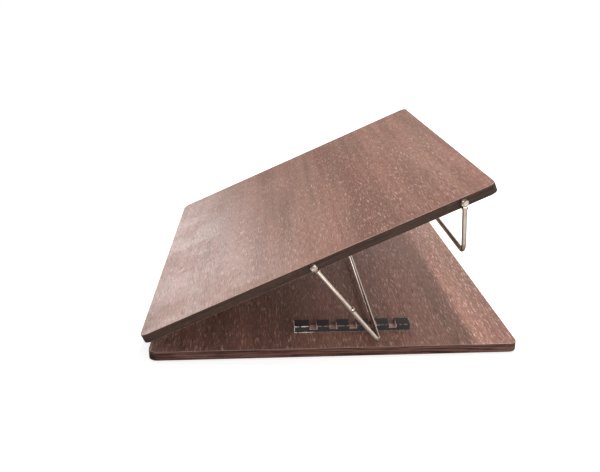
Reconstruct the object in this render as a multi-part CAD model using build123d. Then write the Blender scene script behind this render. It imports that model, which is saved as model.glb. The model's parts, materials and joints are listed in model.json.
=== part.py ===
from build123d import *
from math import acos, atan2, cos, degrees, hypot, radians, sin
import os

# Tilting desk stand: two boards hinged along their front edge. The upper one is propped on a long
# wire bail, whose bar rests in a notch of the racks on the lower one, and carries a short bail at
# its back for the lowest setting.
# Axes: +X from the hinged front edge to the back, +Y across the width from the near side to the
# far side, +Z up, in millimetres. The origin is the middle of the footprint, on the desk.
# Pieces are worked out with x counted from the base's front edge, and place() moves them at the end.

# Boards
WIDTH = 530.0
BASE_DEPTH = 447.0
TOP_DEPTH = 448.0
BOARD = 11.4            # thickness over both laminates
CORNER = 11.0           # corner radius in plan
LAMINATE = 0.7          # sheet on each face, which laps over the edge band
BAND = 1.0              # strip round the edges
ARRIS = 0.35            # bevel along a laminate's outer edge

# Foot pads
PAD_RADIUS = 9.0
PAD_HEIGHT = 2.0
PAD_EDGE = 0.5          # chamfer round the lower rim
PAD_INSET = 28.0        # pad centre from the base's edges

# Hinges, closed: two leaves with the knuckles' width between the boards
HINGE_LENGTH = 64.0
HINGE_Y = 170.0         # hinge centre from the middle of the stand
LEAF = 2.0              # leaf thickness
LEAF_DEPTH = 30.0       # from the base's front edge
LEAF_CORNER = 3.0
KNUCKLES = 5
KNUCKLE_RADIUS = 4.5
KNUCKLE_GAP = 0.3
PIN_RADIUS = 2.25
PIN_EDGE = 0.4          # chamfer at both ends of the pin
RUNNING_FIT = 0.05      # radial clearance where the top's knuckles turn on the pin
PIN_X = -4.8
TOP_FRONT = -1.7        # the top's front edge while it lies closed
LEAF_SCREWS = [(12.0, -22.0), (21.0, 0.0), (12.0, 22.0)]

# Countersunk wood screws
SCREW_RADIUS = 1.75
SCREW_HEAD = 3.5
SCREW_HEAD_DEPTH = 2.0
SCREW_TIP = 2.0
LEAF_SCREW_LENGTH = 9.5
RACK_SCREW_LENGTH = 16.0
THREAD_BITE = 0.1       # a pilot hole is narrower than the screw by this, in radius
SCREW_SLACK = 0.15      # and a clearance hole is wider by this

# Racks on the base
RACK_START = 175.7
RACK_LENGTH = 146.8
RACK_WIDTH = 19.0
RACK_HEIGHT = 8.5
RACK_Y = 213.8          # rack centre from the middle of the stand
RACK_EDGE = 0.5         # chamfer along the upper long edges
RACK_SCREW_INSET = 10.0
NOTCH_FIRST = 200.0
NOTCH_PITCH = 25.0
NOTCHES = 5
NOTCH_WIDTH = 8.6
NOTCH_DEPTH = 4.0
NOTCH_IN_USE = 3        # counted from 0 at the front
SEAT_GAP = 0.3          # bar off the notch's floor and rear wall

# Wire bails, each with two flattened eyes
WIRE_RADIUS = 2.75
WIRE_BEND = 10.0
EYE_WIDTH = 7.6
EYE_HEIGHT = 6.2        # square tab round the bore
EYE_CORNER = 0.8
EYE_THICKNESS = 3.0
EYE_PLAY = 0.15         # eye to washer, and eye to screw head
EYE_BORE = 2.08         # radius
WAIST = 4.0             # width of the forged neck below the eye
COLLAR_AT = 5.0         # shoulder between neck and wire, from the pivot
COLLAR_RADIUS = 3.6
COLLAR_LENGTH = 2.2
COLLAR_EDGE = 0.3       # chamfer at both ends of the collar
PROP_PIVOT = 221.7      # pivot from the top's front edge, at half its thickness
PROP_LEG = 126.0        # pivot to the middle of the bar
BEAD_AT = 70.0          # weld bead on the near leg, from the pivot
BEAD_RADIUS = 3.4
BEAD_OFFSET = 1.4
REAR_PIVOT = 406.5
REAR_LEG = 58.5
REAR_LEAN = 3.0         # degrees that the rear bail hangs back from plumb, stiff on its screws

# Pivot screws and washers on the top's side edges
SHANK_RADIUS = 2.0
SHANK_LENGTH = 22.0
HEAD_RADIUS = 3.1
HEAD_HEIGHT = 2.2
HEAD_BEVEL = 0.6
SLOT_WIDTH = 1.0
SLOT_DEPTH = 1.1
WASHER_RADIUS = 4.5
WASHER_BORE = 2.15
WASHER_THICKNESS = 2.3

OVERRUN = 2.0           # how much longer a through cut is than the piece it goes through

# Worked out from the sizes above
BASE_TOP = PAD_HEIGHT + BOARD
PIN_Z = BASE_TOP + KNUCKLE_RADIUS
TOP_UNDER = BASE_TOP + 2 * KNUCKLE_RADIUS
TOP_MIDDLE = TOP_UNDER + BOARD / 2
RACK_TOP = BASE_TOP + RACK_HEIGHT
NOTCH_XS = [NOTCH_FIRST + NOTCH_PITCH * number for number in range(NOTCHES)]
BAR_X = NOTCH_XS[NOTCH_IN_USE] + NOTCH_WIDTH / 2 - SEAT_GAP - WIRE_RADIUS
BAR_Z = RACK_TOP - NOTCH_DEPTH + SEAT_GAP + WIRE_RADIUS
EYE_Y = WIDTH / 2 + WASHER_THICKNESS + EYE_PLAY + EYE_THICKNESS / 2
HEAD_Y = EYE_Y + EYE_THICKNESS / 2 + EYE_PLAY
MIDDLE_X = (BASE_DEPTH + PIN_X - KNUCKLE_RADIUS) / 2
SIDES = {"near": -1, "far": 1}


def tilt_for_bar(x, z):
    """Degrees that the top leans up when the prop's bar rests at (x, z): the triangle of hinge
    pin, prop pivot and bar, less the pivot's own height above the pin while the top is closed."""
    pivot_x = TOP_FRONT + PROP_PIVOT - PIN_X
    pivot_z = TOP_MIDDLE - PIN_Z
    arm = hypot(pivot_x, pivot_z)
    reach = hypot(x - PIN_X, z - PIN_Z)
    slope = atan2(z - PIN_Z, x - PIN_X)
    opening = acos((arm**2 + reach**2 - PROP_LEG**2) / (2 * arm * reach))
    return degrees(slope + opening - atan2(pivot_z, pivot_x))


TILT = tilt_for_bar(BAR_X, BAR_Z)


def raised(x, z):
    """Where the closed top's point (x, z) goes when the top leans up by TILT about the pin."""
    turn = radians(TILT)
    out, up = x - PIN_X, z - PIN_Z
    return PIN_X + out * cos(turn) - up * sin(turn), PIN_Z + out * sin(turn) + up * cos(turn)


def raise_top(shape):
    """Lean a piece of the closed top up by TILT about the pin."""
    return Pos(PIN_X, 0, PIN_Z) * Rot(0, -TILT, 0) * Pos(-PIN_X, 0, -PIN_Z) * shape


def slab(front, depth, low, high, inset=0.0):
    """Board-shaped layer between two heights, drawn in by inset all round."""
    outline = RectangleRounded(depth - 2 * inset, WIDTH - 2 * inset, CORNER - inset)
    return Pos(front + depth / 2, 0, low) * extrude(outline, high - low)


def board(name, front, depth, under, fasteners):
    """Core, two laminates and edge band of a board lying flat, drilled for its fasteners."""
    low, high = under + LAMINATE, under + BOARD - LAMINATE
    face = slab(front, depth, high, under + BOARD)
    face = chamfer(face.edges().group_by(Axis.Z)[-1], ARRIS)
    back = slab(front, depth, under, low)
    back = chamfer(back.edges().group_by(Axis.Z)[0], ARRIS)
    core = slab(front, depth, low, high, BAND)
    band = slab(front, depth, low, high) - core
    layers = {"core": core, "face_laminate": face, "back_laminate": back, "edge_band": band}
    return {f"{name}_{layer}": shape - fasteners for layer, shape in layers.items()}


def turned(points):
    """Solid of revolution about Z of an outline given as (radius, height) points."""
    return revolve(make_face(Plane.XZ * Polyline(*points, close=True)), Axis.Z)


def countersunk_screw(length):
    """Countersunk screw pointing down, its flat head flush with z = 0."""
    neck, tip = -SCREW_HEAD_DEPTH, SCREW_TIP - length
    outline = [(0, 0), (SCREW_HEAD, 0), (SCREW_RADIUS, neck), (SCREW_RADIUS, tip), (0, -length)]
    return turned(outline)


def screw_hole(length, radius):
    """Countersunk hole of the given shank radius for a screw whose head's top is at z = 0."""
    slope = (SCREW_HEAD - SCREW_RADIUS) / SCREW_HEAD_DEPTH
    neck = (radius - SCREW_HEAD) / slope
    return turned([(0, 0), (SCREW_HEAD, 0), (radius, neck), (radius, -length), (0, -length)])


def pilot_hole(length):
    """Hole that the screw's thread bites into."""
    return screw_hole(length, SCREW_RADIUS - THREAD_BITE)


def clearance_hole(length):
    """Hole that the screw drops through."""
    return screw_hole(length, SCREW_RADIUS + SCREW_SLACK)


def hinge_leaf(side, turning):
    """One leaf as it lies closed on the base: a plate on the board with knuckles round the pin.
    The base's leaf holds the pin tight in knuckles 0, 2 and 4, the top's turns on it in 1 and 3."""
    middle_y = side * HINGE_Y
    pitch = HINGE_LENGTH / KNUCKLES
    plate = extrude(RectangleRounded(LEAF_DEPTH, HINGE_LENGTH, LEAF_CORNER), LEAF)
    leaf = Pos(LEAF_DEPTH / 2, middle_y, BASE_TOP) * plate
    for number in range(1 if turning else 0, KNUCKLES, 2):
        y = middle_y + (number - (KNUCKLES - 1) / 2) * pitch
        length = pitch - KNUCKLE_GAP
        barrel = Pos(PIN_X, y, PIN_Z) * Rot(90, 0, 0) * Cylinder(KNUCKLE_RADIUS, length)
        strap_length = LEAF_CORNER - PIN_X
        strap = Pos(PIN_X + strap_length / 2, y, BASE_TOP + LEAF / 2) * Box(strap_length, length, LEAF)
        leaf += barrel + strap
    bore = PIN_RADIUS + (RUNNING_FIT if turning else 0)
    leaf -= Pos(PIN_X, middle_y, PIN_Z) * Rot(90, 0, 0) * Cylinder(bore, HINGE_LENGTH + OVERRUN)
    if turning:
        leaf = mirror(leaf, about=Plane.XY.offset(PIN_Z))
    return leaf - leaf_screws(side, turning, clearance_hole)


def leaf_screws(side, turning, make=countersunk_screw):
    """The three screws of one leaf, down into the base or up into the closed top."""
    face = BASE_TOP + LEAF
    group = [Pos(x, side * HINGE_Y + y, face) * make(LEAF_SCREW_LENGTH) for x, y in LEAF_SCREWS]
    if turning:
        group = [mirror(screw, about=Plane.XY.offset(PIN_Z)) for screw in group]
    return group


def hinge_pin(side):
    """Pin as long as the barrel, its ends eased."""
    pin = Cylinder(PIN_RADIUS, HINGE_LENGTH)
    pin = chamfer(pin.edges().filter_by(GeomType.CIRCLE), PIN_EDGE)
    return Pos(PIN_X, side * HINGE_Y, PIN_Z) * Rot(90, 0, 0) * pin


def rack(side):
    """Strip with five square notches, its two upper long edges eased."""
    strip = Box(RACK_LENGTH, RACK_WIDTH, RACK_HEIGHT)
    strip = chamfer(strip.edges().filter_by(Axis.X).group_by(Axis.Z)[-1], RACK_EDGE)
    strip = Pos(RACK_START + RACK_LENGTH / 2, side * RACK_Y, BASE_TOP + RACK_HEIGHT / 2) * strip
    cutter = Box(NOTCH_WIDTH, RACK_WIDTH + OVERRUN, 2 * NOTCH_DEPTH)
    for x in NOTCH_XS:
        strip -= Pos(x, side * RACK_Y, RACK_TOP) * cutter
    return strip - rack_screws(side, pilot_hole)


def rack_screws(side, make=countersunk_screw):
    """The two screws that come up through the base into a rack's solid ends."""
    ends = [RACK_START + RACK_SCREW_INSET, RACK_START + RACK_LENGTH - RACK_SCREW_INSET]
    screw = Rot(180, 0, 0) * make(RACK_SCREW_LENGTH)
    return [Pos(x, side * RACK_Y, PAD_HEIGHT) * screw for x in ends]


def bail(leg):
    """Wire bent to a U with its pivots on the Y axis and its bar straight below them. Each leg
    ends in a collar, a forged neck and a flat square eye bored for the pivot screw."""
    corners = [(0, -EYE_Y, -COLLAR_AT), (0, -EYE_Y, -leg), (0, EYE_Y, -leg), (0, EYE_Y, -COLLAR_AT)]
    path = FilletPolyline(*corners, radius=WIRE_BEND)
    start = Plane(origin=(0, -EYE_Y, -COLLAR_AT), z_dir=(0, 0, -1))
    wire = sweep(start * Circle(WIRE_RADIUS), path=path)
    tab = RectangleRounded(EYE_WIDTH, EYE_HEIGHT, EYE_CORNER)
    for y in (-EYE_Y, EYE_Y):
        eye = Rot(90, 0, 0) * extrude(tab, EYE_THICKNESS / 2, both=True)
        neck = Pos(0, 0, -COLLAR_AT / 2) * Box(WAIST, EYE_THICKNESS, COLLAR_AT)
        collar = Pos(0, 0, -COLLAR_AT - COLLAR_LENGTH / 2) * Cylinder(COLLAR_RADIUS, COLLAR_LENGTH)
        collar = chamfer(collar.edges().filter_by(GeomType.CIRCLE), COLLAR_EDGE)
        wire += Pos(0, y, 0) * (eye + neck) + Pos(0, y, 0) * collar
    return wire - Rot(90, 0, 0) * Cylinder(EYE_BORE, 2 * HEAD_Y)


def prop_bail():
    """The long bail, its bar in the notch in use, with the weld bead on its near leg."""
    pivot_x, pivot_z = raised(TOP_FRONT + PROP_PIVOT, TOP_MIDDLE)
    lean = degrees(atan2(BAR_X - pivot_x, pivot_z - BAR_Z))
    bead = Pos(BEAD_OFFSET, -EYE_Y, -BEAD_AT) * Sphere(BEAD_RADIUS)
    return Pos(pivot_x, 0, pivot_z) * Rot(0, -lean, 0) * (bail(PROP_LEG) + bead)


def rear_bail():
    """The short bail, hanging almost plumb from the back of the raised top."""
    pivot_x, pivot_z = raised(TOP_FRONT + REAR_PIVOT, TOP_MIDDLE)
    return Pos(pivot_x, 0, pivot_z) * Rot(0, -REAR_LEAN, 0) * bail(REAR_LEG)


def at_pivot(side, pivot, shape):
    """Turn a shape that points along -Z to point into the closed top's side edge at a pivot."""
    return Pos(TOP_FRONT + pivot, side * HEAD_Y, TOP_MIDDLE) * Rot(-90 * side, 0, 0) * shape


def pivot_hole(side, pivot):
    """Pilot hole of a pivot screw."""
    low_end = (Align.CENTER, Align.CENTER, Align.MAX)
    return at_pivot(side, pivot, Cylinder(SHANK_RADIUS - THREAD_BITE, SHANK_LENGTH, align=low_end))


def pivot_screw(side, pivot):
    """Slotted cheese-head screw through washer and eye into the closed top's side edge."""
    outline = [
        (0, HEAD_HEIGHT),
        (HEAD_RADIUS - HEAD_BEVEL, HEAD_HEIGHT),
        (HEAD_RADIUS, HEAD_HEIGHT - HEAD_BEVEL),
        (HEAD_RADIUS, 0),
        (SHANK_RADIUS, 0),
        (SHANK_RADIUS, SCREW_TIP - SHANK_LENGTH),
        (0, -SHANK_LENGTH),
    ]
    slot = Pos(0, 0, HEAD_HEIGHT) * Box(3 * HEAD_RADIUS, SLOT_WIDTH, 2 * SLOT_DEPTH)
    return at_pivot(side, pivot, turned(outline) - slot)


def pivot_washer(side, pivot):
    """Washer that keeps the eye off the board's edge."""
    ring = Cylinder(WASHER_RADIUS, WASHER_THICKNESS) - Cylinder(WASHER_BORE, WASHER_THICKNESS)
    middle_y = WIDTH / 2 + WASHER_THICKNESS / 2
    return Pos(TOP_FRONT + pivot, side * middle_y, TOP_MIDDLE) * Rot(90, 0, 0) * ring


def foot_pad(x, y):
    """Round rubber pad under the base, its lower rim eased."""
    pad = Cylinder(PAD_RADIUS, PAD_HEIGHT)
    pad = chamfer(pad.edges().group_by(Axis.Z)[0], PAD_EDGE)
    return Pos(x, y, PAD_HEIGHT / 2) * pad


def base_pieces():
    """Everything fixed to the lower board."""
    holes = []
    pieces = {}
    for name, side in SIDES.items():
        holes += leaf_screws(side, False, pilot_hole) + rack_screws(side, clearance_hole)
        pieces[f"{name}_rack"] = rack(side)
        pieces[f"{name}_rack_screws"] = Compound(rack_screws(side))
        pieces[f"{name}_hinge_base_leaf"] = hinge_leaf(side, False)
        pieces[f"{name}_hinge_base_screws"] = Compound(leaf_screws(side, False))
        pieces[f"{name}_hinge_pin"] = hinge_pin(side)
        pad_y = side * (WIDTH / 2 - PAD_INSET)
        pieces[f"front_{name}_pad"] = foot_pad(PAD_INSET, pad_y)
        pieces[f"rear_{name}_pad"] = foot_pad(BASE_DEPTH - PAD_INSET, pad_y)
    return board("base", 0, BASE_DEPTH, PAD_HEIGHT, holes) | pieces


def top_pieces():
    """Everything fixed to the upper board, leaned up with it."""
    holes = []
    pieces = {}
    for name, side in SIDES.items():
        holes += leaf_screws(side, True, pilot_hole)
        pieces[f"{name}_hinge_top_leaf"] = hinge_leaf(side, True)
        pieces[f"{name}_hinge_top_screws"] = Compound(leaf_screws(side, True))
        for bail_name, pivot in {"prop": PROP_PIVOT, "rear": REAR_PIVOT}.items():
            holes.append(pivot_hole(side, pivot))
            pieces[f"{name}_{bail_name}_pivot_screw"] = pivot_screw(side, pivot)
            pieces[f"{name}_{bail_name}_pivot_washer"] = pivot_washer(side, pivot)
    pieces = board("top", TOP_FRONT, TOP_DEPTH, TOP_UNDER, holes) | pieces
    return {name: raise_top(shape) for name, shape in pieces.items()}


def place(shape):
    """Move a piece's solids from the base's front edge to the middle of the footprint."""
    return Compound([Pos(-MIDDLE_X, 0, 0) * solid for solid in shape.solids()])


def main():
    os.makedirs("parts", exist_ok=True)
    bails = {"prop_bail": prop_bail(), "rear_bail": rear_bail()}
    for name, shape in (base_pieces() | top_pieces() | bails).items():
        export_step(place(shape), f"parts/{name}.step")
    prop_x, prop_z = raised(TOP_FRONT + PROP_PIVOT, TOP_MIDDLE)
    rear_x, rear_z = raised(TOP_FRONT + REAR_PIVOT, TOP_MIDDLE)
    print(f"tilt {TILT:.3f} degrees")
    print(f"hinge pin at x {PIN_X - MIDDLE_X:.3f}, z {PIN_Z:.3f}")
    print(f"prop pivot at x {prop_x - MIDDLE_X:.3f}, z {prop_z:.3f}")
    print(f"prop bar at x {BAR_X - MIDDLE_X:.3f}, z {BAR_Z:.3f}")
    print(f"rear bail pivot at x {rear_x - MIDDLE_X:.3f}, z {rear_z:.3f}")
    settings = [f"{tilt_for_bar(x + BAR_X - NOTCH_XS[NOTCH_IN_USE], BAR_Z):.1f}" for x in NOTCH_XS]
    print("tilt in each notch, front to back:", ", ".join(settings), "degrees")


main()
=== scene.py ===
import json
from math import atan2, degrees, pi, radians
from typing import NamedTuple

import bmesh
import bpy
import numpy as np
from mathutils import Matrix, Vector


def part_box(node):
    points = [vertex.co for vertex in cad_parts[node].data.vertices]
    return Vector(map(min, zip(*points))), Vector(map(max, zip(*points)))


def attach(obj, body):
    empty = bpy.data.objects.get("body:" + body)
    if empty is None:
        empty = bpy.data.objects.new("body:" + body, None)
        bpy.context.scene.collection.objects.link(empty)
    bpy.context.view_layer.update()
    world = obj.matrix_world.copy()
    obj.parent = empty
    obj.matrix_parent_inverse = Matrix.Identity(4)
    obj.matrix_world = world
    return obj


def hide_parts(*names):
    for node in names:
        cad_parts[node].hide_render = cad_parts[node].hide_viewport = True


# Tilting stand: two wood-grain boards hinged along their front edges, the top one held up by a long
# wire bail whose bar lies in notched racks, and a short bail hanging free at the rear. Lengths are
# in metres, angles in degrees and colours linear red, green and blue. X runs from the hinges to the
# rear, Y from the near side to the far one and Z up.

# Camera, fitted to the boards' edges in a picture of 600 by 472 pixels
CAMERA_AT = (-0.0787, -1.0087, 0.4171)
CAMERA_DOWN = 19.29
CAMERA_RIGHT = 3.12
CAMERA_ROLL = 0.08

# Lens and sensor, both in millimetres
CAMERA_LENS = 41.94
SENSOR_WIDTH = 36.0

# Racks: the first notch behind the front end, the notches' spacing, half width and depth
NOTCH_FIRST = 0.0243
NOTCH_PITCH = 0.025
NOTCH_HALF = 0.0043
NOTCH_DEPTH = 0.004
NOTCHES = 5

# Countersunk screws: radii of head and shank, depth of the head's cone, length of the tip
SCREW_HEAD = 0.0035
SCREW_SHANK = 0.00175
SCREW_HEAD_DEPTH = 0.002
SCREW_TIP = 0.002

# Cross recess in a screw's head: an arm's length and half width, depth, and width of a sloping wall
RECESS_ARM = 0.0019
RECESS_HALF = 0.00045
RECESS_DEPTH = 0.0011
RECESS_SLOPE = 0.00025

# Steps of a screw's grid round its axis and across its head, and how near a pole's points lie
AROUND = 48
HEAD_RINGS = 22
POLE_GAP = 1e-7

# Boards: corner radius, and how near to a board's outline a point counts as on its side
BOARD_CORNER = 0.011
SIDE_SKIN = 0.00012

# Floor: its side, and how far it lies under the pads
FLOOR_SIZE = 6.0
FLOOR_GAP = 0.0002

# Range of a mask, and plain white with its alpha
MASK_RANGE = (0.0, 1.0)
WHITE = (1.0, 1.0, 1.0, 1.0)


# --------------------------------------------------------------- node helpers


def add_node(tree, kind, inputs=None, **settings):
    """Node of a kind with its settings, each input given a value or linked from a socket."""
    node = tree.nodes.new(kind)
    for key, value in settings.items():
        setattr(node, key, value)
    for key, value in (inputs or {}).items():
        if isinstance(value, bpy.types.NodeSocket):
            tree.links.new(value, node.inputs[key])
        else:
            node.inputs[key].default_value = value
    return node


def calc(tree, operation, *values):
    """Result of a Math node."""
    return add_node(tree, "ShaderNodeMath", dict(enumerate(values)), operation=operation).outputs[0]


def vector_calc(tree, operation, *values):
    """Vector from a Vector Math node."""
    return add_node(tree, "ShaderNodeVectorMath", dict(enumerate(values)), operation=operation).outputs[0]


def split(tree, vector):
    """X, Y and Z of a vector."""
    return list(add_node(tree, "ShaderNodeSeparateXYZ", {0: vector}).outputs)


def join(tree, x, y):
    """Vector of X and Y, with a Z of 0."""
    return add_node(tree, "ShaderNodeCombineXYZ", {0: x, 1: y}).outputs[0]


def opaque(colour):
    """A colour's socket as it is, or red, green and blue with an alpha of 1."""
    return colour if isinstance(colour, bpy.types.NodeSocket) else (*colour, 1.0)


def blend(tree, factor, first, second):
    """Colour between two colours by a factor."""
    inputs = {0: factor, 6: opaque(first), 7: opaque(second)}
    return add_node(tree, "ShaderNodeMix", inputs, data_type="RGBA").outputs[2]


def between(tree, value, limits, results=MASK_RANGE):
    """Value carried smoothly from one range onto another, and held at its ends."""
    inputs = {
        "Value": value,
        "From Min": limits[0],
        "From Max": limits[1],
        "To Min": results[0],
        "To Max": results[1],
    }
    return add_node(tree, "ShaderNodeMapRange", inputs, interpolation_type="SMOOTHSTEP").outputs["Result"]


def fading(tree, value, full, none):
    """Mask that is 1 up to the value full and falls to 0 at the value none."""
    return between(tree, value, (full, none), (1.0, 0.0))


def noise(tree, vector, per_metre, detail=2.0, roughness=0.5):
    """Noise whose features repeat per_metre times along X, Y and Z."""
    spread = vector_calc(tree, "MULTIPLY", vector, per_metre)
    inputs = {"Vector": spread, "Scale": 1.0, "Detail": detail, "Roughness": roughness}
    return add_node(tree, "ShaderNodeTexNoise", inputs).outputs["Fac"]


# ------------------------------------------------------------- shared effects

FLOAT, VECTOR = "NodeSocketFloat", "NodeSocketVector"

# Grain: features per metre along X, Y and Z of what doesn't follow the streaks' own spacing
WAVER_PER_METRE = (9.0, 16.0, 1.0)
CLUMPS_PER_METRE = (60.0, 9.0, 1.0)
NARROW_BANDS_PER_METRE = (110.0, 3.0, 1.0)
WIDE_BANDS_PER_METRE = (11.0, 1.2, 1.0)
HUE_PER_METRE = (30.0, 2.5, 1.0)

# Grain: features across and along one streak's space
STREAKS_PER_LANE = (1.0, 1.0, 1.0)
WEAVE_PER_LANE = (2.7, 2.1, 1.0)
PORES_PER_LANE = (1.9, 0.8, 1.0)

# Grain: how far it wavers sideways, the noise over which each mask fills, and what a streak keeps
# between the clumps
WAVER = 0.005
STREAK_LIMITS = (0.54, 0.64)
CLUMP_LIMITS = (0.35, 0.65)
CLUMP_RESULTS = (0.45, 1.0)
WEAVE_LIMITS = (0.48, 0.68)
PORE_LIMITS = (0.48, 0.34)
HUE_LIMITS = (0.3, 0.7)
NARROW_SHARE = 0.55
WIDE_SHARE = 0.45

# Middle part of a noise's values, over which what follows it goes from one end to the other
NOISE_MIDDLE = (0.3, 0.7)

# Ragged bevel and box edges: features per metre, and the least and most of the width
BEVEL_PER_METRE = (60.0, 60.0, 260.0)
BEVEL_RAGGED = (0.6, 1.3)
EDGE_NOISE_PER_METRE = (420.0, 420.0, 420.0)
EDGE_NOISE_LIMITS = (0.35, 0.65)
EDGE_RAGGED = (0.2, 1.8)

# Dust: the noise that picks the cells with a speck
DUST_PER_METRE = (37.0, 37.0, 37.0)
DUST_LIMITS = (0.5, 0.75)

# Smudges: the part of the clouds' values over which they fill
SMUDGE_LIMITS = (0.35, 0.7)


def new_group(name, inputs, masks):
    """Empty shader node group with inputs, given as (name, type, value), and masks that it puts out."""
    group = bpy.data.node_groups.new(name, "ShaderNodeTree")
    for label, kind, value in inputs:
        socket = group.interface.new_socket(label, in_out="INPUT", socket_type=kind)
        if value is not None:
            socket.default_value = value
    for label in masks:
        group.interface.new_socket(label, in_out="OUTPUT", socket_type=FLOAT)
    return group, group.nodes.new("NodeGroupInput").outputs


def put_out(group, masks):
    """Link a group's results to its outputs."""
    add_node(group, "NodeGroupOutput", masks)


def use_group(tree, group, inputs):
    """Outputs of a group placed in a tree."""
    return add_node(tree, "ShaderNodeGroup", inputs, node_tree=group).outputs


def grain_group():
    """Wood print drawn out along Y: strong short streaks in clumps, a fine weave of fainter ones, thin
    dark pores, bands and a slow change of hue. It wavers sideways a little, as grain does. A streak's
    space is one over Streaks per metre across, and Stretch times that along."""
    group, given = new_group(
        "Wood grain",
        [("Vector", VECTOR, None), ("Streaks per metre", FLOAT, 300.0), ("Stretch", FLOAT, 10.0)],
        ["Streaks", "Weave", "Pores", "Bands", "Hue", "Height"],
    )
    flat = vector_calc(group, "MULTIPLY", given["Vector"], (1.0, 1.0, 0.0))
    across, along = split(group, flat)[:2]
    waver = calc(group, "MULTIPLY", noise(group, flat, WAVER_PER_METRE, detail=3.0, roughness=0.5), WAVER)
    across = calc(group, "ADD", across, waver)
    wavy = join(group, across, along)
    lanes = given["Streaks per metre"]
    steps = calc(group, "DIVIDE", lanes, given["Stretch"])
    lane = join(group, calc(group, "MULTIPLY", across, lanes), calc(group, "MULTIPLY", along, steps))
    strong = noise(group, lane, STREAKS_PER_LANE, detail=3.0, roughness=0.7)
    weave = noise(group, lane, WEAVE_PER_LANE, detail=2.0, roughness=0.6)
    pores = noise(group, lane, PORES_PER_LANE, detail=2.0, roughness=0.6)
    clumps = noise(group, wavy, CLUMPS_PER_METRE, detail=2.0, roughness=0.5)
    narrow_bands = noise(group, wavy, NARROW_BANDS_PER_METRE, detail=3.0, roughness=0.55)
    wide_bands = noise(group, wavy, WIDE_BANDS_PER_METRE, detail=1.0, roughness=0.5)
    hue = noise(group, wavy, HUE_PER_METRE, detail=2.0, roughness=0.55)
    clumped = between(group, clumps, CLUMP_LIMITS, CLUMP_RESULTS)
    streak_mask = calc(group, "MULTIPLY", between(group, strong, STREAK_LIMITS), clumped)
    pore_mask = between(group, pores, PORE_LIMITS)
    narrow = calc(group, "MULTIPLY", narrow_bands, NARROW_SHARE)
    wide = calc(group, "MULTIPLY", wide_bands, WIDE_SHARE)
    masks = {
        "Streaks": streak_mask,
        "Weave": between(group, weave, WEAVE_LIMITS),
        "Pores": pore_mask,
        "Bands": calc(group, "ADD", narrow, wide),
        "Hue": between(group, hue, HUE_LIMITS),
        "Height": calc(group, "SUBTRACT", streak_mask, pore_mask),
    }
    put_out(group, masks)
    return group


def inside_box(group, given):
    """Distances inwards from the nearer of a box's two faces, along X, Y and Z."""
    from_low = vector_calc(group, "SUBTRACT", given["Vector"], given["Low"])
    from_high = vector_calc(group, "SUBTRACT", given["High"], given["Vector"])
    return split(group, vector_calc(group, "MINIMUM", from_low, from_high))


def board_edge_group():
    """Masks of a board-shaped sheet's side and of the fine bevel next to it, from how far inside
    its rounded outline a point lies: with X and Y the distances to the nearest two sides and R the
    corner radius, that is the least of X, Y and R less the length of (R - X, R - Y) held above 0."""
    group, given = new_group(
        "Board edge",
        [("Vector", VECTOR, None), ("Low", VECTOR, None), ("High", VECTOR, None), ("Bevel", FLOAT, 0.0005)],
        ["Side", "Bevel"],
    )
    x, y = inside_box(group, given)[:2]
    short = [calc(group, "MAXIMUM", calc(group, "SUBTRACT", BOARD_CORNER, length), 0.0) for length in (x, y)]
    squares = [calc(group, "MULTIPLY", length, length) for length in short]
    rounded = calc(group, "SUBTRACT", BOARD_CORNER, calc(group, "SQRT", calc(group, "ADD", *squares)))
    depth = calc(group, "MINIMUM", calc(group, "MINIMUM", x, y), rounded)
    side = calc(group, "LESS_THAN", depth, SIDE_SKIN)
    rough = noise(group, given["Vector"], BEVEL_PER_METRE, detail=3.0)
    width = calc(group, "MULTIPLY", given["Bevel"], between(group, rough, NOISE_MIDDLE, BEVEL_RAGGED))
    near = calc(group, "LESS_THAN", depth, width)
    put_out(group, {"Side": side, "Bevel": calc(group, "SUBTRACT", near, side)})
    return group


def box_edge_group():
    """Mask of the edges of a box: 1 where two of the three distances to its faces are small."""
    group, given = new_group(
        "Box edges",
        [("Vector", VECTOR, None), ("Low", VECTOR, None), ("High", VECTOR, None), ("Width", FLOAT, 0.001)],
        ["Wear"],
    )
    distances = inside_box(group, given)
    rough = noise(group, given["Vector"], EDGE_NOISE_PER_METRE, detail=4.0, roughness=0.6)
    width = calc(group, "MULTIPLY", given["Width"], between(group, rough, EDGE_NOISE_LIMITS, EDGE_RAGGED))
    close = [calc(group, "LESS_THAN", distance, width) for distance in distances]
    count = calc(group, "ADD", calc(group, "ADD", close[0], close[1]), close[2])
    put_out(group, {"Wear": calc(group, "GREATER_THAN", count, 1.5)})
    return group


def dust_group():
    """Mask of a few small specks: the hearts of sparse Voronoi cells whose size varies by noise."""
    group, given = new_group(
        "Dust specks",
        [("Vector", VECTOR, None), ("Cells per metre", FLOAT, 60.0), ("Size", FLOAT, 0.03)],
        ["Specks"],
    )
    inputs = {"Vector": given["Vector"], "Scale": given["Cells per metre"]}
    cells = add_node(group, "ShaderNodeTexVoronoi", inputs).outputs["Distance"]
    pick = noise(group, given["Vector"], DUST_PER_METRE, detail=1.0)
    reach = calc(group, "MULTIPLY", given["Size"], between(group, pick, DUST_LIMITS))
    put_out(group, {"Specks": calc(group, "LESS_THAN", cells, reach)})
    return group


def smudge_group():
    """Cloudy mask for fingerprints, haze and uneven polish."""
    group, given = new_group("Smudges", [("Vector", VECTOR, None), ("Per metre", FLOAT, 30.0)], ["Smudges"])
    inputs = {0: given["Vector"], "Scale": given["Per metre"]}
    spread = add_node(group, "ShaderNodeVectorMath", inputs, operation="SCALE").outputs[0]
    clouds = noise(group, spread, (1.0, 1.0, 1.0), detail=4.0, roughness=0.6)
    put_out(group, {"Smudges": between(group, clouds, SMUDGE_LIMITS)})
    return group


def make_effects():
    """The shared effects by name."""
    return {
        "grain": grain_group(),
        "board_edge": board_edge_group(),
        "box_edges": box_edge_group(),
        "dust": dust_group(),
        "smudge": smudge_group(),
    }


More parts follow.
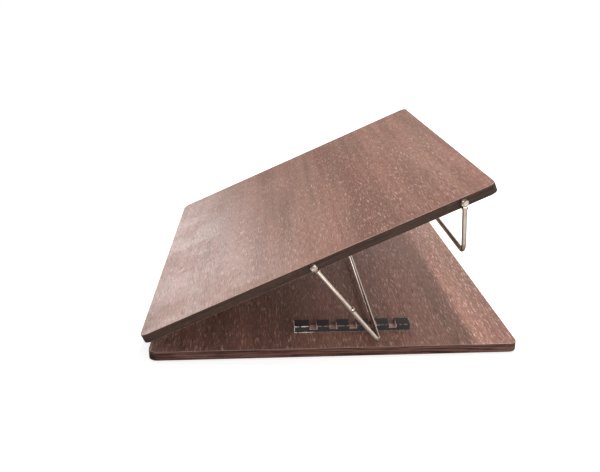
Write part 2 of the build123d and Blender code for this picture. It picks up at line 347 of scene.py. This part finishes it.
# ---------------------------------------------------------- material helpers


def new_material(name):
    """Material, its node tree, its Principled shader and the object coordinates."""
    material = bpy.data.materials.new(name)
    material.use_nodes = True
    tree = material.node_tree
    place = tree.nodes.new("ShaderNodeTexCoord").outputs["Object"]
    return material, tree, tree.nodes["Principled BSDF"], place


def set_surface(tree, shader, colour, roughness, normal=None):
    """Give a shader what changes over the surface."""
    tree.links.new(colour, shader.inputs["Base Color"])
    tree.links.new(roughness, shader.inputs["Roughness"])
    if normal:
        tree.links.new(normal, shader.inputs["Normal"])


def bump(tree, height, strength, distance):
    """Normal from a height mask."""
    inputs = {"Height": height, "Strength": strength, "Distance": distance}
    return add_node(tree, "ShaderNodeBump", inputs).outputs["Normal"]


def smudged(tree, effects, place, per_metre):
    """Smudge mask at a scale."""
    return use_group(tree, effects["smudge"], {"Vector": place, "Per metre": per_metre})["Smudges"]


# --------------------------------------------------------------- board finish


class Board(NamedTuple):
    """How a board lies: the hinge pin's place, its lean, and its laminate's box when it lies flat."""

    hinge: tuple
    tilt: float
    low: tuple
    high: tuple


# Laminate: its ground between dark and light bands, each in two hues, and what lies over it
GROUND_DARK = ((0.175, 0.096, 0.072), (0.195, 0.091, 0.070))
GROUND_LIGHT = ((0.285, 0.160, 0.120), (0.305, 0.152, 0.118))
THREAD = (0.50, 0.31, 0.25)
# Strong streaks: grain, its pale colour partly painted glints off the relief
STREAK_AND_GLINT = (0.70, 0.47, 0.40)
PORE = (0.055, 0.024, 0.019)
# Paler line along the fine bevel at the face's outline
PALE_BEVEL = (0.52, 0.34, 0.28)
LAMINATE_SIDE = (0.050, 0.025, 0.020)
SPECK = (0.75, 0.7, 0.65)

# Laminate: where the bands turn, how much of each mask shows, the bevel's width, the relief's
# strength and depth, and the sheen
BAND_LIMITS = (0.36, 0.64)
WEAVE_SHARE = 0.35
PORE_SHARE = 0.6
BEVEL_SHARE = 0.6
BEVEL_WIDTH = 0.0008
LAMINATE_SMUDGES = 14.0
LAMINATE_RELIEF = (0.35, 0.00012)
LAMINATE_ROUGHNESS = (0.30, 0.40)
PORE_ROUGHNESS = 0.12
LAMINATE_SPECULAR = 0.3

# Laminates: the print's shift, its streaks per metre and how much they show
BASE_PRINT = ((0.0, 0.0, 0.0), 560.0, 1.0)
TOP_PRINT = ((1.7, 0.6, 0.0), 620.0, 0.66)

# Edge strips: dark and light lines
BASE_STRIP = ((0.020, 0.010, 0.008), (0.150, 0.070, 0.056))
TOP_STRIP = ((0.031, 0.018, 0.013), (0.054, 0.031, 0.023))

# Edge strips: lines and flecks per metre, the flecks' colour and their share, the relief and the sheen
LINES_PER_METRE = (16.0, 16.0, 520.0)
FLECKS_PER_METRE = (90.0, 90.0, 1500.0)
FLECK = (0.20, 0.11, 0.08)
FLECK_LIMITS = (0.58, 0.75)
FLECK_RESULTS = (0.0, 0.4)
STRIP_RELIEF = (0.25, 0.0002)
STRIP_ROUGHNESS = (0.42, 0.56)
STRIP_SPECULAR = 0.15

# Raw fibreboard: fibres per metre, colours and sheen
FIBRES_PER_METRE = (900.0, 900.0, 2400.0)
FIBRE_DARK = (0.30, 0.2, 0.12)
FIBRE_LIGHT = (0.5, 0.37, 0.24)
FIBRE_ROUGHNESS = (0.75, 0.9)


def lying_flat(tree, place, board):
    """Coordinates turned back about the hinge pin, so that a leaning board counts as lying flat."""
    turn = Matrix.Rotation(radians(board.tilt), 3, "Y")
    shift = Vector(board.hinge) - turn @ Vector(board.hinge)
    inputs = {"Vector": place, "Location": shift, "Rotation": (0.0, radians(board.tilt), 0.0)}
    return add_node(tree, "ShaderNodeMapping", inputs, vector_type="POINT").outputs[0]


def laminate(name, effects, board, shift, lanes, contrast):
    """Wenge-brown wood print with short beige streaks, whose pale colour is grain with painted glints off
    the relief, and dark pores, satin and slightly smudged, with a few specks of dust. Its sides are as
    dark as the strips and its fine bevel is paler. The print is shifted so that two boards differ, and
    lanes is its count of streaks per metre."""
    material, tree, shader, place = new_material(name)
    flat = lying_flat(tree, place, board)
    print_place = vector_calc(tree, "ADD", flat, shift)
    grain = use_group(tree, effects["grain"], {"Vector": print_place, "Streaks per metre": lanes})
    dark = blend(tree, grain["Hue"], *GROUND_DARK)
    light = blend(tree, grain["Hue"], *GROUND_LIGHT)
    ground = blend(tree, between(tree, grain["Bands"], BAND_LIMITS), dark, light)
    woven = blend(tree, calc(tree, "MULTIPLY", grain["Weave"], WEAVE_SHARE), ground, THREAD)
    streaked_with_glints = blend(tree, calc(tree, "MULTIPLY", grain["Streaks"], contrast), woven, STREAK_AND_GLINT)
    pored = blend(tree, calc(tree, "MULTIPLY", grain["Pores"], contrast * PORE_SHARE), streaked_with_glints, PORE)
    outline = {"Vector": flat, "Low": board.low, "High": board.high, "Bevel": BEVEL_WIDTH}
    edge = use_group(tree, effects["board_edge"], outline)
    bevelled = blend(tree, calc(tree, "MULTIPLY", edge["Bevel"], BEVEL_SHARE), pored, PALE_BEVEL)
    sided = blend(tree, edge["Side"], bevelled, LAMINATE_SIDE)
    specks = use_group(tree, effects["dust"], {"Vector": print_place})["Specks"]
    smudges = smudged(tree, effects, print_place, LAMINATE_SMUDGES)
    satin = between(tree, smudges, MASK_RANGE, LAMINATE_ROUGHNESS)
    roughness = calc(tree, "ADD", satin, calc(tree, "MULTIPLY", grain["Pores"], PORE_ROUGHNESS))
    relief = bump(tree, grain["Height"], *LAMINATE_RELIEF)
    set_surface(tree, shader, blend(tree, specks, sided, SPECK), roughness, relief)
    shader.inputs["Specular IOR Level"].default_value = LAMINATE_SPECULAR
    return material


def edge_strip(name, board, dark, light):
    """Dark brown strip with lines and pale flecks along its length."""
    material, tree, shader, place = new_material(name)
    flat = lying_flat(tree, place, board)
    lines = noise(tree, flat, LINES_PER_METRE, detail=4.0, roughness=0.65)
    flecks = noise(tree, flat, FLECKS_PER_METRE, detail=2.0, roughness=0.5)
    ground = blend(tree, between(tree, lines, BAND_LIMITS), dark, light)
    flecked = blend(tree, between(tree, flecks, FLECK_LIMITS, FLECK_RESULTS), ground, FLECK)
    roughness = between(tree, flecks, NOISE_MIDDLE, STRIP_ROUGHNESS)
    set_surface(tree, shader, flecked, roughness, bump(tree, lines, *STRIP_RELIEF))
    shader.inputs["Specular IOR Level"].default_value = STRIP_SPECULAR
    return material


def fibreboard(name):
    """Raw fibreboard, seen only inside drilled holes."""
    material, tree, shader, place = new_material(name)
    fibres = noise(tree, place, FIBRES_PER_METRE, detail=3.0)
    colour = blend(tree, fibres, FIBRE_DARK, FIBRE_LIGHT)
    set_surface(tree, shader, colour, between(tree, fibres, NOISE_MIDDLE, FIBRE_ROUGHNESS))
    return material


# ---------------------------------------------------------------- rack finish

# Raw wood of the notches: its skin outside a notch's surface, its ragged edge, and where across the
# rack, counted outwards from its middle, the painted shade over the inner half gives way to it
RAW_SKIN = 0.0001
RAW_PER_METRE = (700.0, 700.0, 700.0)
RAW_RAGGED = (0.0, 0.0005)
NOTCH_SHADE_LIMITS = (-0.004, 0.001)
NOTCH_SHADE_RESULTS = (0.22, 1.0)
REAR_WALL_SKIN = 0.0003

# Sawn ends: their skin, and how much raw wood shows on them
SAWN_SKIN = 0.0002
SAWN_SHARE = 0.35

# Pale edge lines: their width, where they fade behind the front end, and their strength before and after
PALE_EDGE_WIDTH = 0.0006
PALE_EDGE_LIMITS = (0.018, 0.026)
PALE_EDGE_RESULTS = (1.0, 0.25)

# Rack: fibres per metre, colours, relief and sheen
RACK_FIBRES = (60.0, 900.0, 900.0)
RACK_FIBRE_LIMITS = (0.35, 0.65)
SAWN_DARK = (0.26, 0.13, 0.105)
SAWN_LIGHT = (0.66, 0.47, 0.40)
# Rear wall of a notch: a painted highlight, pale where the wall catches the light
REAR_WALL_HIGHLIGHT = (0.86, 0.72, 0.64)
STAIN_DARK = (0.010, 0.009, 0.009)
STAIN_LIGHT = (0.026, 0.023, 0.023)
# Pale lines along the rack's edges, strongest near the front end
PALE_EDGE = (0.74, 0.66, 0.62)
RACK_RELIEF = (0.3, 0.0002)
RACK_ROUGHNESS = (0.42, 0.7)


def notch_masks(tree, place, low, high, outwards):
    """Masks of the raw wood in a rack's notches, less of it on their inner half where shade is painted,
    and of their rear walls, where a highlight is painted. A point's notch is the one whose number,
    its distance behind the first over the pitch, is nearest."""
    x, y, z = split(tree, place)
    number = calc(tree, "DIVIDE", calc(tree, "SUBTRACT", x, low[0] + NOTCH_FIRST), NOTCH_PITCH)
    nearest = calc(tree, "MINIMUM", calc(tree, "MAXIMUM", calc(tree, "ROUND", number), 0.0), NOTCHES - 1.0)
    behind = calc(tree, "MULTIPLY", calc(tree, "SUBTRACT", number, nearest), NOTCH_PITCH)
    ragged = between(tree, noise(tree, place, RAW_PER_METRE, detail=3.0), NOISE_MIDDLE, RAW_RAGGED)
    reach = calc(tree, "ADD", ragged, NOTCH_HALF + RAW_SKIN)
    beside = calc(tree, "LESS_THAN", calc(tree, "ABSOLUTE", behind), reach)
    floor = calc(tree, "SUBTRACT", high[2] - NOTCH_DEPTH - RAW_SKIN, ragged)
    above = calc(tree, "GREATER_THAN", z, floor)
    from_middle = calc(tree, "SUBTRACT", y, (low[1] + high[1]) / 2)
    # Painted shade: the notches' inner half keeps little raw wood and takes the dark stain's colour
    raw_left_by_shade = between(tree, calc(tree, "MULTIPLY", from_middle, outwards), NOTCH_SHADE_LIMITS, NOTCH_SHADE_RESULTS)
    in_notch = calc(tree, "MULTIPLY", calc(tree, "MULTIPLY", beside, above), raw_left_by_shade)
    at_rear = calc(tree, "GREATER_THAN", behind, NOTCH_HALF - REAR_WALL_SKIN)
    return in_notch, calc(tree, "MULTIPLY", in_notch, at_rear)


def stained_rack(name, effects, low, high, outwards):
    """Black stained wood, raw at the ends and in the sawn notches, with painted shade darkening the
    notches' inner half and a painted highlight on their rear walls, and pale lines along its edges,
    strongest near the front end. Outwards is -1 for the near rack and 1 for the far one."""
    material, tree, shader, place = new_material(name)
    in_notch, rear_wall_highlight = notch_masks(tree, place, low, high, outwards)
    x = split(tree, place)[0]
    from_front = calc(tree, "SUBTRACT", x, low[0])
    from_end = calc(tree, "MINIMUM", from_front, calc(tree, "SUBTRACT", high[0], x))
    sawn = calc(tree, "LESS_THAN", from_end, SAWN_SKIN)
    raw_mask = calc(tree, "MAXIMUM", in_notch, calc(tree, "MULTIPLY", sawn, SAWN_SHARE))
    box = {"Vector": place, "Low": low, "High": high, "Width": PALE_EDGE_WIDTH}
    box_edge_mask = use_group(tree, effects["box_edges"], box)["Wear"]
    pale_edge_mask = calc(tree, "MULTIPLY", box_edge_mask, between(tree, from_front, PALE_EDGE_LIMITS, PALE_EDGE_RESULTS))
    fibres = noise(tree, place, RACK_FIBRES, detail=3.0, roughness=0.6)
    sawn_wood = blend(tree, between(tree, fibres, RACK_FIBRE_LIMITS), SAWN_DARK, SAWN_LIGHT)
    # Painted highlight on each notch's rear wall
    raw = blend(tree, rear_wall_highlight, sawn_wood, REAR_WALL_HIGHLIGHT)
    stain = blend(tree, fibres, STAIN_DARK, STAIN_LIGHT)
    colour = blend(tree, pale_edge_mask, blend(tree, raw_mask, stain, raw), PALE_EDGE)
    roughness = between(tree, raw_mask, MASK_RANGE, RACK_ROUGHNESS)
    set_surface(tree, shader, colour, roughness, bump(tree, fibres, *RACK_RELIEF))
    return material


# ----------------------------------------------------- metal and rubber finish

# Metal: how much of the dull colour the smudges bring, how much they and the lines roughen it, and
# the lines' relief
DULL_SHARE = 0.6
SMUDGE_ROUGHENS = 1.9
LINE_ROUGHENS = 0.4
METAL_RELIEF = (0.12, 0.0001)

# Metal: lines per metre on turned parts, on wires and on rolled plate
EVEN_LINES = (500.0, 500.0, 500.0)
WIRE_LINES = (60.0, 60.0, 60.0)
PLATE_LINES = (60.0, 2200.0, 60.0)

# Metals: colour, dull colour, roughness, smudges per metre and lines per metre
CHROME_WIRE = ((0.68, 0.56, 0.48), (0.46, 0.35, 0.28), 0.045, 90.0, WIRE_LINES)
CHROME_PIVOT = ((0.62, 0.55, 0.48), (0.28, 0.23, 0.19), 0.22, 340.0, EVEN_LINES)
# Washers: dark as painted shade, for they sit in shadow behind the pivots' eyes
WASHER_PAINTED_SHADE = ((0.13, 0.10, 0.085), (0.07, 0.055, 0.045), 0.35, 300.0, EVEN_LINES)
ZINC_PLATE = ((0.62, 0.61, 0.58), (0.42, 0.41, 0.39), 0.28, 80.0, PLATE_LINES)
ZINC_SCREW = ((0.66, 0.64, 0.58), (0.4, 0.38, 0.34), 0.24, 260.0, EVEN_LINES)

# Rubber: smudges per metre, colours and sheen
RUBBER_SMUDGES = 160.0
RUBBER = (0.018, 0.018, 0.018)
DUSTY_RUBBER = (0.055, 0.052, 0.05)
RUBBER_ROUGHNESS = (0.7, 0.9)


def bright_metal(name, effects, colour, dull_colour, roughness, smudges_per_metre, lines_per_metre):
    """Plated metal with uneven polish and fine lines."""
    material, tree, shader, place = new_material(name)
    smudges = smudged(tree, effects, place, smudges_per_metre)
    lines = noise(tree, place, lines_per_metre, detail=2.0)
    plating = blend(tree, calc(tree, "MULTIPLY", smudges, DULL_SHARE), colour, dull_colour)
    shine = between(tree, smudges, MASK_RANGE, (roughness, roughness * SMUDGE_ROUGHENS))
    lined = calc(tree, "ADD", shine, calc(tree, "MULTIPLY", lines, roughness * LINE_ROUGHENS))
    set_surface(tree, shader, plating, lined, bump(tree, lines, *METAL_RELIEF))
    shader.inputs["Metallic"].default_value = 1.0
    return material


def pad_rubber(name, effects):
    """Matt black rubber with a little dust."""
    material, tree, shader, place = new_material(name)
    smudges = smudged(tree, effects, place, RUBBER_SMUDGES)
    roughness = between(tree, smudges, MASK_RANGE, RUBBER_ROUGHNESS)
    set_surface(tree, shader, blend(tree, smudges, RUBBER, DUSTY_RUBBER), roughness)
    return material


# ------------------------------------------------------------ recessed screws


def mesh_object(name, points, faces):
    """Object at the origin from an array of points and an array of quads, with smooth shading."""
    mesh = bpy.data.meshes.new(name)
    mesh.from_pydata(points.tolist(), [], faces.tolist())
    mesh.polygons.foreach_set("use_smooth", np.ones(len(mesh.polygons), dtype=bool))
    mesh.update()
    piece = bpy.data.objects.new(name, mesh)
    bpy.context.scene.collection.objects.link(piece)
    return piece


def grid_faces(rings, around):
    """Quads of a grid of rings that closes round itself, facing outwards for rings that go down."""
    ring = np.arange(rings - 1)[:, None] * around
    here = np.arange(around)[None, :]
    after = (here + 1) % around
    quads = [ring + here, ring + around + here, ring + around + after, ring + after]
    return np.stack(quads, axis=-1).reshape(-1, 4)


def screw_grid(length):
    """Countersunk screw with a cross recess, head up at z = 0, as a grid of rings.

    The radius runs out over the head, down the cone and in to the tip. On the head the height is
    minus the recess depth where a point lies in either arm of the cross, with sloping walls: the
    wall factor is the distance inside an arm's outline over the slope's width, held from 0 to 1.
    """
    head = np.linspace(0.0, SCREW_HEAD, HEAD_RINGS)
    shank = np.array([SCREW_SHANK, SCREW_SHANK, 0.0])
    shank_level = np.array([-SCREW_HEAD_DEPTH, SCREW_TIP - length, -length])
    radius = np.concatenate([head, shank])
    level = np.concatenate([np.zeros_like(head), shank_level])
    turn = np.arange(AROUND) * 2 * pi / AROUND
    r, a = np.meshgrid(radius, turn, indexing="ij")
    x, y = r * np.cos(a), r * np.sin(a)
    across, along = np.minimum(abs(x), abs(y)), np.maximum(abs(x), abs(y))
    inside = np.minimum(RECESS_HALF - across, RECESS_ARM - along)
    sunk = np.clip(inside / RECESS_SLOPE, 0.0, 1.0) * RECESS_DEPTH
    sunk[len(head):] = 0.0
    z = level[:, None] - sunk
    return np.stack([x, y, z], axis=-1).reshape(-1, 3), grid_faces(len(radius), AROUND)


def close_poles(piece):
    """Join the doubled points at the poles, and point the faces outwards."""
    work = bmesh.new()
    work.from_mesh(piece.data)
    bmesh.ops.remove_doubles(work, verts=work.verts, dist=POLE_GAP)
    bmesh.ops.recalc_face_normals(work, faces=work.faces)
    work.to_mesh(piece.data)
    work.free()


def screws(name, length, places):
    """One object of several screws, each place a 4 by 4 matrix that carries the upright screw."""
    points, faces = screw_grid(length)
    spots = [points @ np.array(place)[:3, :3].T + np.array(place)[:3, 3] for place in places]
    shifted = [faces + number * len(points) for number in range(len(places))]
    piece = mesh_object(name, np.concatenate(spots), np.concatenate(shifted))
    close_poles(piece)
    return piece


def base_screw_spots(low, high):
    """Heads of a base leaf's three screws, two in one row and one between them further in."""
    middle = (low.y + high.y) / 2
    return [
        Vector((low.x + SCREW_HEAD, low.y + SCREW_HEAD, high.z)),
        Vector((high.x - SCREW_HEAD, middle, high.z)),
        Vector((low.x + SCREW_HEAD, high.y - SCREW_HEAD, high.z)),
    ]


def top_screw_places(spots, hinge, tilt):
    """Matrices of a top leaf's screws: the base leaf's, mirrored through the pin and leaned up."""
    pin = Matrix.Translation(Vector(hinge))
    lean = pin @ Matrix.Rotation(radians(-tilt), 4, "Y") @ pin.inverted()
    mirrored = [Vector((spot.x, spot.y, 2 * hinge[2] - spot.z)) for spot in spots]
    return [lean @ Matrix.Translation(spot) @ Matrix.Rotation(pi, 4, "X") for spot in mirrored]


def make_screws(side, hinge, tilt, material):
    """The side's leaf screws and rack screws with their cross recesses, in place of the plain ones."""
    low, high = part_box(f"{side}_hinge_base_screws")
    leaf_length = high.z - low.z
    spots = base_screw_spots(low, high)
    rack_low, rack_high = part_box(f"{side}_rack_screws")
    middle = (rack_low.y + rack_high.y) / 2
    heads = [rack_low.x + SCREW_HEAD, rack_high.x - SCREW_HEAD]
    upwards = Matrix.Rotation(pi, 4, "X")
    rack_places = [Matrix.Translation(Vector((x, middle, rack_low.z))) @ upwards for x in heads]
    groups = {
        "hinge_base_screws": ("base", leaf_length, [Matrix.Translation(spot) for spot in spots]),
        "hinge_top_screws": ("top", leaf_length, top_screw_places(spots, hinge, tilt)),
        "rack_screws": ("base", rack_high.z - rack_low.z, rack_places),
    }
    for node, (body, length, places) in groups.items():
        piece = screws(f"{side}_{node}_recessed", length, places)
        piece.data.materials.append(material)
        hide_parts(f"{side}_{node}")
        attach(piece, body)


# -------------------------------------------------------------------- staging

# Floor: its tone and the tone that reflections see, its glow for the camera from the stand outwards,
# and a pale patch that reflections see in front of the near side
FLOOR_TONE = (0.6, 0.6, 0.6)
MIRRORED_TONE = (0.28, 0.28, 0.28)
GLOW_LIMITS = (0.3, 1.1)
GLOW_RESULTS = (0.74, 0.9)
PATCH_LIMITS = (-0.8, -0.35)
PATCH_RESULTS = (0.55, 0.0)
FLOOR_ROUGHNESS = 0.9
FLOOR_SPECULAR = 0.1

# World: share of white light that falls on everything, and how bright a reflection sees the room
AMBIENT = 0.34
ROOM_RIGHT = 0.85
ROOM_NEAR = 0.35
ROOM_DIM = 0.16

# World: where along a direction's X, Y and Z the right wall, the near wall and the far window lie
RIGHT_WALL_X = (0.45, 0.62)
RIGHT_WALL_TOP = (0.38, 0.6)
NEAR_WALL_Y = (-0.5, -0.15)
NEAR_WALL_TOP = (0.3, 0.8)
WINDOW_X = 0.28
WINDOW_HALF_WIDTH = (0.17, 0.21)
WINDOW_Z = 0.12
WINDOW_HALF_HEIGHT = (0.13, 0.17)

# Lamps: name, place, what each points at, width, height, watts and colour
LAMPS = (
    ("overhead", (0.30, 0.05, 2.2), (0.12, 0.0, 0.0), 0.16, 0.16, 38.0, (1.0, 0.98, 0.96)),
    ("behind", (1.25, 0.4, 1.6), (0.10, 0.0, 0.0), 0.9, 0.9, 16.0, (1.0, 0.96, 0.92)),
    ("near_fill", (0.45, -2.35, 0.60), (-0.1, 0.0, 0.03), 2.4, 1.0, 38.0, (1.0, 0.95, 0.91)),
    ("window", (-1.35, 2.4, 0.62), (-0.15, -0.2, 0.05), 1.1, 1.1, 11.0, (1.0, 0.98, 0.97)),
)


def make_floor():
    """Pale floor just under the pads, white to the camera but for the stand's shadow."""
    half = FLOOR_SIZE / 2
    points = np.array([(-half, -half, 0), (half, -half, 0), (half, half, 0), (-half, half, 0)])
    floor = mesh_object("floor", points - (0, 0, FLOOR_GAP), np.array([[0, 1, 2, 3]]))
    material, tree, shader, place = new_material("floor_white")
    shader.inputs["Roughness"].default_value = FLOOR_ROUGHNESS
    shader.inputs["Specular IOR Level"].default_value = FLOOR_SPECULAR
    path = tree.nodes.new("ShaderNodeLightPath").outputs
    tone = blend(tree, path["Is Glossy Ray"], FLOOR_TONE, MIRRORED_TONE)
    tree.links.new(tone, shader.inputs["Base Color"])
    seen = calc(tree, "MAXIMUM", path["Is Camera Ray"], path["Is Transmission Ray"])
    patch = between(tree, split(tree, place)[1], PATCH_LIMITS, PATCH_RESULTS)
    mirrored = calc(tree, "MULTIPLY", path["Is Glossy Ray"], patch)
    away = add_node(tree, "ShaderNodeVectorMath", {0: place}, operation="LENGTH").outputs["Value"]
    white = calc(tree, "MULTIPLY", seen, between(tree, away, GLOW_LIMITS, GLOW_RESULTS))
    shader.inputs["Emission Color"].default_value = WHITE
    tree.links.new(calc(tree, "ADD", white, mirrored), shader.inputs["Emission Strength"])
    floor.data.materials.append(material)


def window_mask(tree, x, y, z):
    """1 in a soft-edged rectangle about the window's middle, on the far side alone."""
    off_x = calc(tree, "ABSOLUTE", calc(tree, "SUBTRACT", x, WINDOW_X))
    off_z = calc(tree, "ABSOLUTE", calc(tree, "SUBTRACT", z, WINDOW_Z))
    across = fading(tree, off_x, *WINDOW_HALF_WIDTH)
    upright = fading(tree, off_z, *WINDOW_HALF_HEIGHT)
    return calc(tree, "MULTIPLY", calc(tree, "MULTIPLY", across, upright), calc(tree, "GREATER_THAN", y, 0.0))


def make_world():
    """Soft even light, and plain white past the stand for the camera. A reflection sees a dim room
    with a bright wall at the right, a darker one at the near side and a white window at the far one."""
    world = bpy.data.worlds.new("studio")
    world.use_nodes = True
    bpy.context.scene.world = world
    tree = world.node_tree
    background = tree.nodes["Background"]
    path = tree.nodes.new("ShaderNodeLightPath").outputs
    x, y, z = split(tree, tree.nodes.new("ShaderNodeTexCoord").outputs["Generated"])
    right_wall = calc(tree, "MULTIPLY", between(tree, x, RIGHT_WALL_X), fading(tree, z, *RIGHT_WALL_TOP))
    near_wall = calc(tree, "MULTIPLY", fading(tree, y, *NEAR_WALL_Y), fading(tree, z, *NEAR_WALL_TOP))
    right = calc(tree, "MULTIPLY", right_wall, ROOM_RIGHT)
    near = calc(tree, "MULTIPLY", near_wall, ROOM_NEAR)
    walls = calc(tree, "MAXIMUM", right, near)
    room = calc(tree, "ADD", calc(tree, "MAXIMUM", walls, window_mask(tree, x, y, z)), ROOM_DIM)
    reflected = calc(tree, "MULTIPLY", path["Is Glossy Ray"], calc(tree, "SUBTRACT", room, AMBIENT))
    seen = calc(tree, "MAXIMUM", path["Is Camera Ray"], path["Is Transmission Ray"])
    past = calc(tree, "MULTIPLY", seen, 1.0 - AMBIENT)
    strength = calc(tree, "ADD", calc(tree, "ADD", reflected, past), AMBIENT)
    tree.links.new(strength, background.inputs["Strength"])
    background.inputs["Color"].default_value = WHITE


def add_lamp(name, at, aim, width, height, watts, colour):
    """Area lamp that points from one place to another, unseen by the camera itself."""
    lamp = bpy.data.lights.new(name, "AREA")
    lamp.shape = "RECTANGLE"
    lamp.size = width
    lamp.size_y = height
    lamp.energy = watts
    lamp.color = colour
    holder = bpy.data.objects.new(name, lamp)
    holder.location = at
    holder.rotation_euler = (Vector(aim) - Vector(at)).to_track_quat("-Z", "Y").to_euler()
    holder.visible_camera = False
    bpy.context.scene.collection.objects.link(holder)


def make_camera():
    """Camera at the photograph's place, its turns applied as pan, then tilt, then roll."""
    data = bpy.data.cameras.new("camera")
    data.sensor_fit = "HORIZONTAL"
    data.sensor_width = SENSOR_WIDTH
    data.lens = CAMERA_LENS
    camera = bpy.data.objects.new("camera", data)
    pan = Matrix.Rotation(radians(-CAMERA_RIGHT), 4, "Z")
    tilt = Matrix.Rotation(radians(90.0 - CAMERA_DOWN), 4, "X")
    roll = Matrix.Rotation(radians(CAMERA_ROLL), 4, "Z")
    camera.matrix_world = Matrix.Translation(Vector(CAMERA_AT)) @ pan @ tilt @ roll
    bpy.context.scene.collection.objects.link(camera)
    bpy.context.scene.camera = camera


# ----------------------------------------------------------------------- main


def dress(nodes, names, material):
    """Give CAD nodes one material."""
    for name in names:
        mesh = nodes[name].data
        mesh.materials.clear()
        mesh.materials.append(material)


def flat_box(node, hinge, tilt):
    """Lowest and highest corners of a leaning node's box once it is turned back about the hinge pin."""
    mesh = node.data
    points = np.empty(len(mesh.vertices) * 3, dtype=np.float32)
    mesh.vertices.foreach_get("co", points)
    turn = np.array(Matrix.Rotation(radians(tilt), 3, "Y"))
    flat = (points.reshape(-1, 3) - hinge) @ turn.T + hinge
    return flat.min(axis=0).tolist(), flat.max(axis=0).tolist()


def read_boards(frame):
    """The base and the top as boards, from the frame's hinge, the top's face and the laminates."""
    hinge = next(joint["pos_m"] for joint in frame["joints"] if joint["name"] == "top_tilt")
    face = next(mount["axis"] for mount in frame["record"]["mounts"] if mount["name"] == "top_face")
    tilt = degrees(atan2(-face[0], face[2]))
    base = Board(hinge, 0.0, *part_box("base_face_laminate"))
    top = Board(hinge, tilt, *flat_box(frame["nodes"]["top_face_laminate"], hinge, tilt))
    return base, top


def dress_boards(nodes, effects, base, top):
    """Laminates, edge strips and cores of both boards."""
    base_laminate = laminate("base_laminate", effects, base, *BASE_PRINT)
    top_laminate = laminate("top_laminate", effects, top, *TOP_PRINT)
    dress(nodes, ["base_face_laminate", "base_back_laminate"], base_laminate)
    dress(nodes, ["top_face_laminate", "top_back_laminate"], top_laminate)
    dress(nodes, ["base_edge_band"], edge_strip("base_strip", base, *BASE_STRIP))
    dress(nodes, ["top_edge_band"], edge_strip("top_strip", top, *TOP_STRIP))
    dress(nodes, ["base_core", "top_core"], fibreboard("raw_board"))


def dress_bails(nodes, effects):
    """Both bails in bright wire, with their pivot screws, and washers darkened as painted shade."""
    pivots = [f"{side}_{bail}_pivot" for side in ("near", "far") for bail in ("prop", "rear")]
    heads = [f"{pivot}_screw" for pivot in pivots]
    rings = [f"{pivot}_washer" for pivot in pivots]
    dress(nodes, ["prop_bail", "rear_bail"], bright_metal("chrome_wire", effects, *CHROME_WIRE))
    dress(nodes, heads, bright_metal("chrome_pivot", effects, *CHROME_PIVOT))
    dress(nodes, rings, bright_metal("washer_painted_shade", effects, *WASHER_PAINTED_SHADE))


def dress_hardware(nodes, effects, top):
    """Racks, hinges, the screws that stand for plain ones, and pads."""
    plate = bright_metal("zinc_plate", effects, *ZINC_PLATE)
    screw_steel = bright_metal("zinc_screw", effects, *ZINC_SCREW)
    for side, outwards in (("near", -1.0), ("far", 1.0)):
        low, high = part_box(f"{side}_rack")
        dress(nodes, [f"{side}_rack"], stained_rack(f"{side}_rack_stain", effects, low, high, outwards))
        dress(nodes, [f"{side}_hinge_base_leaf", f"{side}_hinge_top_leaf", f"{side}_hinge_pin"], plate)
        make_screws(side, top.hinge, top.tilt, screw_steel)
    pads = [f"{end}_{side}_pad" for end in ("front", "rear") for side in ("near", "far")]
    dress(nodes, pads, pad_rubber("black_rubber", effects))


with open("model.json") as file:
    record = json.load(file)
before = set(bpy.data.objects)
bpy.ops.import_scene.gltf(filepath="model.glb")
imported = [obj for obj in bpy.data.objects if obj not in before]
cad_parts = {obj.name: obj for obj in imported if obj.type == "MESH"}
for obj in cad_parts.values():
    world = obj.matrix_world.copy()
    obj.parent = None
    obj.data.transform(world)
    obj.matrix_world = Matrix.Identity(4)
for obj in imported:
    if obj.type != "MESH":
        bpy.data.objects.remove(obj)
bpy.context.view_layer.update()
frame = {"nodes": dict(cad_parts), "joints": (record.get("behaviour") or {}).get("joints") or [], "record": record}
bpy.context.scene.view_settings.view_transform = "Standard"
make_camera()
make_world()
for lamp_values in LAMPS:
    add_lamp(*lamp_values)
make_floor()
shared_effects = make_effects()
base_board, top_board = read_boards(frame)
dress_boards(frame["nodes"], shared_effects, base_board, top_board)
dress_bails(frame["nodes"], shared_effects)
dress_hardware(frame["nodes"], shared_effects, top_board)
